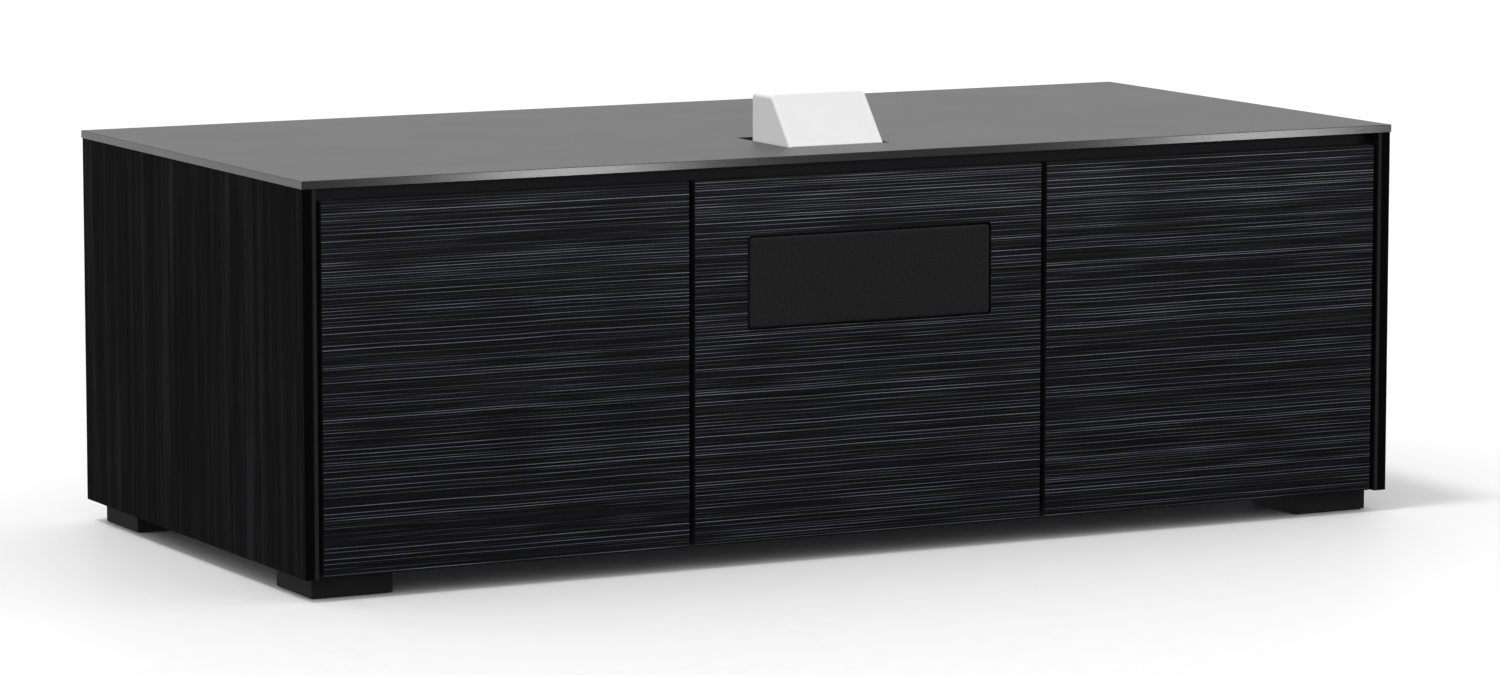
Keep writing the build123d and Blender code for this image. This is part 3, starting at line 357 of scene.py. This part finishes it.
# ------------------------------------------------------------------ ridges
EDGE = 0.4 * MM  # how far the rims of a ridged sheet are eased back
RIDGE_WIDTH = 1.5 * MM
RIDGE_WIDTHS = (0.75, 1.25)  # shares of the width
RIDGE_PROFILE = ((-1, 0.0), (-0.3, 0.9), (0.3, 1.0), (1, 0.0))  # share of its half width, and rise
PITCHES = (0.62, 1.5)  # shares of the pitch
CLEAR_OF_NEXT = 2.2  # least step to the next ridge, in half widths
SHEET_MARGIN = 0.6  # plain strip at each end, in pitches
STRENGTHS = (0.2, 1.0)
FADE_SHARE = 0.35
FAINTEST = 0.06
CALM = 0.4  # how quickly the wander starts at the sheet's ends


def ridge_rows(rng, low, high, pitch):
    """Rows across a ridged sheet: where each lies, how far up its ridge it is, and which ridge that is."""
    rows = [(low, 0.0, 0), (low + EDGE, 0.0, 0)]
    at = low + pitch * SHEET_MARGIN
    number = 0
    while at < high - pitch * SHEET_MARGIN:
        half = RIDGE_WIDTH / 2 * rng.uniform(*RIDGE_WIDTHS)
        number += 1
        rows += [(at + half * side, rise, number) for side, rise in RIDGE_PROFILE]
        at += max(pitch * rng.uniform(*PITCHES), CLEAR_OF_NEXT * half)
    rows += [(high - EDGE, 0.0, number), (high, 0.0, number)]
    return [np.array(column) for column in zip(*rows)]


def faded(rng, rise, number, u, length, fade_length):
    """How far each row stands up at each u: every ridge has its own strength and fades in and out."""
    ridges = number.max() + 1
    fade = smooth_noise(rng, u, np.linspace(0, 1, ridges), int(length / fade_length) + 2, ridges)
    strength = rng.uniform(*STRENGTHS, ridges)[:, None]
    return rise[:, None] * np.clip(strength + FADE_SHARE * fade, FAINTEST, 1.0)[number]


def wandering(rng, u, v, wave, knots_u, knots_v):
    """How far the ridges stray sideways: nothing at the sheet's ends, and up to wave between them."""
    calm = np.sin(pi * np.clip(v, 0, 1))[:, None] ** CALM
    return wave * smooth_noise(rng, u, v, knots_u, knots_v) * calm


# ------------------------------------------------------------------ door faces
RIDGE_PITCH = 3.9 * MM
RIDGE_DEPTH = 0.6 * MM
RIDGE_WAVE = 0.6 * MM
RIDGE_LENGTH = 90 * MM
RIDGE_KNOTS = (7, 6)
COLUMN = 6 * MM

WINDOW_GAP = 3.2 * MM
WINDOW_CORNER = 4 * MM
WINDOW_REACH = 10 * MM
WINDOW_COLUMN = 0.5 * MM
WINDOW_COLUMNS = 9  # fine columns on each side of each upright edge of the window
PLACE_DECIMALS = 5  # of a column's place in metres: a hundredth of a millimetre


def grille_window():
    """The centre, half size and corner radius, in X and Z, of the window in the centre door's face."""
    centre, half = flat_box("grille_cloth")
    return centre, half + WINDOW_GAP, WINDOW_CORNER


def rounded_outline(point, centre, half, radius):
    """The nearest place to point on a rounded rectangle, and whether point is inside it. All in 2-D."""
    away = point - centre
    sign = np.where(away < 0, -1.0, 1.0)
    straight = half - radius
    reach = np.abs(away) - straight
    if (reach > 0).all():
        length = np.hypot(*reach)
        return centre + sign * (straight + reach * radius / length), length < radius
    gap = half - np.abs(away)
    inside = (gap > 0).all()
    side = int(np.argmin(gap))
    edge = np.minimum(np.abs(away), half)
    edge[side] = half[side]
    return centre + sign * edge, inside


def cut_window(made, centre, half, radius):
    """Opens a rounded window in a face sheet and draws the rim of the hole onto its outline."""
    inside = {}
    for corner in made.verts:
        place = np.array((corner.co.x, corner.co.z))
        if (np.abs(place - centre) < half + WINDOW_REACH).all():
            inside[corner] = rounded_outline(place, centre, half, radius)
    gone = [face for face in made.faces if all(c in inside and inside[c][1] for c in face.verts)]
    rim = {c for face in gone for c in face.verts}
    bmesh.ops.delete(made, geom=gone, context="FACES")
    for corner in rim:
        if corner.is_valid and corner.link_faces:
            corner.co.x, corner.co.z = inside[corner][0]
    stray = [c for c in made.verts if not c.link_faces]
    bmesh.ops.delete(made, geom=stray, context="VERTS")


def combed_face(name):
    """A door's facing with real ridges that run level, wander a little and fade in and out."""
    rng = np.random.default_rng(SEED + DOORS.index(name))
    low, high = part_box(f"{name}_door_facing")
    across = np.linspace(low.x + EDGE, high.x - EDGE, int((high.x - low.x) / COLUMN))
    across = np.concatenate(([low.x], across, [high.x]))
    window = None
    if name == "centre":
        window = grille_window()
        uprights = window[0][0] + window[1][0] * np.array((-1, 1))
        steps = range(-WINDOW_COLUMNS, WINDOW_COLUMNS + 1)
        fine = [upright + step * WINDOW_COLUMN for upright in uprights for step in steps]
        across = np.unique(np.round(np.concatenate((across, fine)), PLACE_DECIMALS))
    up, rise, number = ridge_rows(rng, low.z, high.z, RIDGE_PITCH)
    u = (across - low.x) / (high.x - low.x)
    v = (up - low.z) / (high.z - low.z)
    share = faded(rng, rise, number, u, high.x - low.x, RIDGE_LENGTH)
    points = np.empty((*share.shape, 3))
    points[..., 0] = across[None, :]
    points[..., 1] = low.y + RIDGE_DEPTH * (1 - share)
    points[..., 2] = up[:, None] + wandering(rng, u, v, RIDGE_WAVE, *RIDGE_KNOTS)
    points[[0, -1], :, 1] += EDGE
    points[1:-1, [0, -1], 1] += EDGE
    points[1:-1, [0, -1], 2] = up[1:-1, None]
    made = grid_mesh(points, share)
    if window is not None:
        cut_window(made, *window)
    close_back(made, Vector((0, 1, 0)), high.y)
    return made


# ------------------------------------------------------------------ side panels
GRAIN_PITCH = 3.4 * MM
GRAIN_DEPTH = 0.3 * MM
GRAIN_WAVE = 2.5 * MM
GRAIN_LENGTH = 120 * MM
GRAIN_KNOTS = (5, 14)
GRAIN_STEP = 14 * MM


def grained_side(name):
    """A side panel whose outer face has real upright grain: long low ridges that wander and fade."""
    rng = np.random.default_rng(SEED + len(DOORS) + SIDES.index(name))
    low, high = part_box(f"{name}_side_panel")
    way = -1 if name == "left" else 1
    outer, inner = (low.x, high.x) if way < 0 else (high.x, low.x)
    back, line, number = ridge_rows(rng, low.y, high.y, GRAIN_PITCH)
    up = np.linspace(low.z + EDGE, high.z - EDGE, int((high.z - low.z) / GRAIN_STEP))
    up = np.concatenate(([low.z], up, [high.z]))
    u = (up - low.z) / (high.z - low.z)
    v = (back - low.y) / (high.y - low.y)
    share = faded(rng, line, number, u, high.z - low.z, GRAIN_LENGTH)
    points = np.empty((*share.shape, 3))
    points[..., 0] = outer - way * GRAIN_DEPTH * (1 - share)
    points[..., 1] = back[:, None] + wandering(rng, u, v, GRAIN_WAVE, *GRAIN_KNOTS)
    points[..., 2] = up[None, :]
    points[[0, -1], :, 0] -= way * EDGE
    points[1:-1, [0, -1], 0] -= way * EDGE
    made = grid_mesh(points, share)
    close_back(made, Vector((-way, 0, 0)), inner)
    return made


for name in SIDES:
    panel = f"{name}_side_panel"
    make_piece(f"{name}_grained_side", grained_side(name), "carcass", "side_veneer", [panel])
for name in DOORS:
    facing = f"{name}_door_facing"
    make_piece(f"{name}_combed_face", combed_face(name), f"{name}_door", "door_texture", [facing])


# ------------------------------------------------------------------ grille cloth
CLOTH_CORNER = 4 * MM
CLOTH_ROUND = 2.2 * MM  # radius of the edge where the cloth turns back over its frame
CLOTH_CROWN = 0.25 * MM
CLOTH_INSET = 6 * MM  # where the even columns and rows start
CLOTH_COLUMNS, CLOTH_ROWS, EDGE_ROWS = 120, 40, 7
CLOTH_THICKNESS = 0.8 * MM
TINY = 1e-9


def eased(half, number):
    """Places from -half to half: close together over the rounded edges, and even between them."""
    ease = CLOTH_ROUND * (1 - np.cos(np.linspace(0, pi / 2, EDGE_ROWS)))
    middle = np.linspace(-half + CLOTH_INSET, half - CLOTH_INSET, number)
    return np.concatenate((-half + ease, middle, (half - ease)[::-1]))


def grille_piece():
    """The cloth stretched over its frame: flat in front, with soft rounded edges that run straight back."""
    low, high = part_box("grille_cloth")
    centre, half = flat_box("grille_cloth")
    x, z = np.meshgrid(eased(half[0], CLOTH_COLUMNS), eased(half[1], CLOTH_ROWS))
    dx, dz = np.abs(x) - half[0] + CLOTH_CORNER, np.abs(z) - half[1] + CLOTH_CORNER
    corner = (dx > 0) & (dz > 0)
    furthest = np.maximum(dx, dz)
    squeeze = np.where(corner, furthest / np.maximum(np.hypot(dx, dz), TINY), 1.0)
    straight_edge = np.minimum(half[0] - np.abs(x), half[1] - np.abs(z))
    edge = np.where(corner, CLOTH_CORNER - furthest, straight_edge)
    x = np.where(corner, np.sign(x) * (half[0] - CLOTH_CORNER + dx * squeeze), x)
    z = np.where(corner, np.sign(z) * (half[1] - CLOTH_CORNER + dz * squeeze), z)
    fall = np.clip(1 - edge / CLOTH_ROUND, 0, 1)
    depth = CLOTH_ROUND * (1 - np.sqrt(1 - fall**2))
    bulge = CLOTH_CROWN * np.cos(pi / 2 * x / half[0]) * np.cos(pi / 2 * z / half[1])
    made = grid_mesh(np.stack((centre[0] + x, low.y + depth - bulge, centre[1] + z), -1), np.zeros(x.shape))
    extrude_rims(made, 1, high.y)
    bmesh.ops.recalc_face_normals(made, faces=made.faces)
    return made


grille = make_piece("grille_cloth_stretched", grille_piece(), "centre_door", "grille_fabric", ["grille_cloth"])
grille.data.shade_smooth()
skin = grille.modifiers.new("cloth", "SOLIDIFY")
skin.thickness = CLOTH_THICKNESS
skin.offset = -1.0

# ------------------------------------------------------------------ studio
FLOOR_REACH = 60.0
SUN_STRENGTH = 1.1
SUN_SIZE = radians(10)
SUN_TURN = (radians(2), radians(-20), 0)
WHITE = (1, 1, 1, 1)
SEEN_STRENGTH = 1.05  # what the camera sees of the room
HORIZON_STRENGTH, ADDED_OVERHEAD = 0.62, 0.4
GLOSS_BELOW = 0.2  # what reflections see below the horizon
CAMERA_PLACE = (-3.914, -7.5527, 1.3628)
CAMERA_YAW, CAMERA_PITCH = radians(27.493), radians(7.441)
LENS, SENSOR_WIDTH, FAR_CLIP = 147.2, 36.0, 200.0
STRIP_SIDES = (0.81, 2.25)  # where the lamps stand that brighten two stretches of the top slab's front edge
STRIP_RUN = 1.3  # how far left of its strip each one is aimed


def make_floor():
    """A plain pale floor that runs out to the horizon."""
    mesh = bpy.data.meshes.new("studio_floor")
    corners = [(x * FLOOR_REACH, y * FLOOR_REACH, 0) for x, y in ((-1, -1), (1, -1), (1, 1), (-1, 1))]
    mesh.from_pydata(corners, [], [(0, 1, 2, 3)])
    material, tree, shader = new_material("pale floor")
    tree.links.new(spread(tree, noise(tree, even(40.0)), 0.45, 0.6), shader.inputs["Roughness"])
    shader.inputs["Base Color"].default_value = (0.84, 0.84, 0.84, 1.0)
    surface(shader, specular=0.2)
    mesh.materials.append(material)
    floor = bpy.data.objects.new("studio_floor", mesh)
    bpy.context.scene.collection.objects.link(floor)
    floor.visible_glossy = False
    floor.visible_diffuse = False


def soft_box(name, place, target, size, power, *lit_pieces):
    """A rectangular studio light aimed at a point. It lights only those pieces."""
    light = bpy.data.lights.new(name, "AREA")
    light.shape = "RECTANGLE"
    light.size, light.size_y = size
    light.energy = power
    lamp = bpy.data.objects.new(name, light)
    lamp.location = place
    lamp.rotation_euler = (Vector(target) - Vector(place)).to_track_quat("-Z", "Y").to_euler()
    lamp.visible_camera = False
    bpy.context.scene.collection.objects.link(lamp)
    lit = bpy.data.collections.new(f"lit by {name}")
    for piece in lit_pieces:
        lit.objects.link(piece)
    lamp.light_linking.receiver_collection = lit


def soft_sun():
    """An even light from above that keeps the whole floor white."""
    light = bpy.data.lights.new("sun", "SUN")
    light.energy = SUN_STRENGTH
    light.angle = SUN_SIZE
    lamp = bpy.data.objects.new("sun", light)
    lamp.rotation_euler = SUN_TURN
    bpy.context.scene.collection.objects.link(lamp)


def make_world():
    """A white room to the camera. To what it lights it is bright above the horizon and dark below it."""
    world = bpy.data.worlds.new("studio")
    world.use_nodes = True
    tree = world.node_tree
    around = add(tree, "ShaderNodeTexCoord").outputs["Generated"]
    height = add(tree, "ShaderNodeSeparateXYZ", {0: around}).outputs["Z"]
    rays = add(tree, "ShaderNodeLightPath")
    below = maths(tree, "MULTIPLY", rays.outputs["Is Glossy Ray"], GLOSS_BELOW)
    horizon = spread(tree, height, below, HORIZON_STRENGTH, start=-0.02, end=0.01)
    sky = spread(tree, height, 0.0, ADDED_OVERHEAD, start=0.05, end=0.4)
    seen = add(tree, "ShaderNodeBackground", {"Color": WHITE, "Strength": SEEN_STRENGTH})
    lit = add(tree, "ShaderNodeBackground", {"Color": WHITE, "Strength": maths(tree, "ADD", horizon, sky)})
    shares = {0: rays.outputs["Is Camera Ray"], 1: lit.outputs[0], 2: seen.outputs[0]}
    mix = add(tree, "ShaderNodeMixShader", shares)
    tree.links.new(mix.outputs[0], tree.nodes["World Output"].inputs["Surface"])
    bpy.context.scene.world = world


def make_camera():
    """The camera: front left of the cabinet, above its top, with a long lens."""
    camera = bpy.data.cameras.new("camera")
    camera.lens = LENS
    camera.sensor_width = SENSOR_WIDTH
    camera.clip_end = FAR_CLIP
    holder = bpy.data.objects.new("camera", camera)
    holder.location = CAMERA_PLACE
    level = cos(CAMERA_PITCH)
    ahead = Vector((sin(CAMERA_YAW) * level, cos(CAMERA_YAW) * level, -sin(CAMERA_PITCH)))
    holder.rotation_euler = ahead.to_track_quat("-Z", "Y").to_euler()
    bpy.context.scene.collection.objects.link(holder)
    bpy.context.scene.camera = holder


make_floor()
make_world()
make_camera()
soft_sun()
door_faces = [bpy.data.objects[f"{name}_combed_face"] for name in DOORS]
top_slab = CAD_NODES["top_panel"]
soft_box("door_light", (0.0, -0.62, 0.9), (0, -0.38, 0.45), (2.6, 0.2), 10.5, *door_faces)
for side in STRIP_SIDES:
    aimed_at = (side - STRIP_RUN, -0.38, 0.54)
    soft_box(f"edge_strip_{side}", (side, -3.0, 0.25), aimed_at, (0.3, 0.5), 6.5, top_slab)
soft_box("left_edge_card", (-2.06, 3.0, 0.22), (-0.83, 0.0, 0.54), (1.2, 0.4), 1.5, top_slab)
bpy.context.scene.view_settings.view_transform = "Standard"
